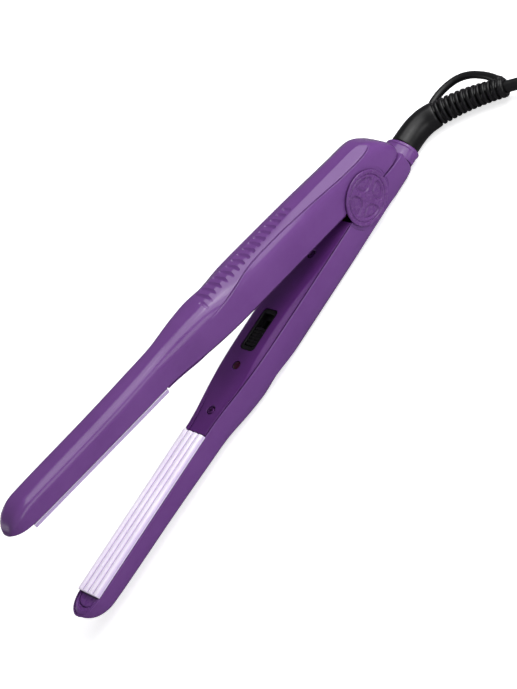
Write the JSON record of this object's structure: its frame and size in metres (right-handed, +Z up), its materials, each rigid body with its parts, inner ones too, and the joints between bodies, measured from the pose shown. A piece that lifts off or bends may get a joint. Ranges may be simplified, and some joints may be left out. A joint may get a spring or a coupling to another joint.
{
  "type": "flat iron",
  "caption": "Slim hair crimping iron: two sprung arms on a rear hinge with ridged aluminium plates, a slide switch and a swivel cord.",
  "frame": {"origin": "centre of the flat outer face of the lower handle, on which the iron lies on a table", "axes": "+Z up from the resting face towards the upper arm, -X towards the plates and tips, +X towards the cord, Y along the hinge pin"},
  "size_m": [0.3084, 0.0756, 0.0793],
  "materials": {
    "shell_purple": "fine satin moulded plastic, purple",
    "cover_dark_purple": "satin moulded plastic, dark purple",
    "crimp_plate": "pale coated aluminium with lengthwise ridges",
    "heater_film": "amber polyimide film wrap over the heating bar",
    "ceramic": "off-white ceramic and heat-proof insulation",
    "steel": "zinc-plated steel",
    "spring_steel": "bare spring steel",
    "switch_black": "black moulded plastic",
    "lens_red": "translucent dark red plastic",
    "lamp": "clear red lamp body",
    "board": "green circuit board",
    "boot_rubber": "black soft PVC, matt",
    "cord_jacket": "black PVC cable jacket",
    "wire_brown": "brown wire insulation",
    "wire_blue": "blue wire insulation"
  },
  "bodies": {
    "lower_arm": {"lower_shell": "shell_purple", "lower_inner_cover": "cover_dark_purple", "lower_cover_screw_front": "steel", "lower_cover_screw_rear": "steel", "lower_nose_cover": "cover_dark_purple", "lower_crimp_plate": "crimp_plate", "lower_heater": "heater_film", "lower_heater_spring": "spring_steel", "lower_heater_tray": "ceramic", "lower_thermal_fuse": "ceramic", "switch_body": "switch_black", "indicator_lens": "lens_red", "indicator_lamp": "lamp", "indicator_board": "board", "hinge_pin": "steel", "hinge_cap_left": "shell_purple", "hinge_cap_right": "shell_purple", "opening_spring": "spring_steel", "cord_collar": "shell_purple", "supply_lead_live": "wire_brown", "supply_lead_neutral": "wire_blue", "switched_lead": "wire_brown"},
    "upper_arm": {"upper_shell": "shell_purple", "upper_inner_cover": "cover_dark_purple", "upper_cover_screw_front": "steel", "upper_cover_screw_rear": "steel", "upper_nose_cover": "cover_dark_purple", "upper_crimp_plate": "crimp_plate", "upper_heater": "heater_film", "upper_heater_spring": "spring_steel", "upper_heater_tray": "ceramic", "upper_thermal_fuse": "ceramic", "upper_lead_live": "wire_brown", "upper_lead_neutral": "wire_blue"},
    "switch_slider": {"switch_button": "switch_black"},
    "cord": {"cord_boot": "boot_rubber", "power_cord": "cord_jacket", "cord_core_live": "wire_brown", "cord_core_neutral": "wire_blue"}
  },
  "joints": [
    {"name": "arm_close", "type": "hinge", "parent": "lower_arm", "child": "upper_arm", "pos_m": [0.042, 0, 0.0187], "axis": [0, -1, 0], "range_deg": [0, 13.3], "stiffness_Nm_per_rad": 0.8, "springref_deg": -20.05},
    {"name": "switch_slide", "type": "slide", "parent": "lower_arm", "child": "switch_slider", "axis": [1, 0, 0], "range_m": [0, 0.007]},
    {"name": "cord_swivel", "type": "hinge", "parent": "lower_arm", "child": "cord", "pos_m": [0.074, 0, 0.0067], "axis": [1, 0, 0], "continuous": true}
  ]
}
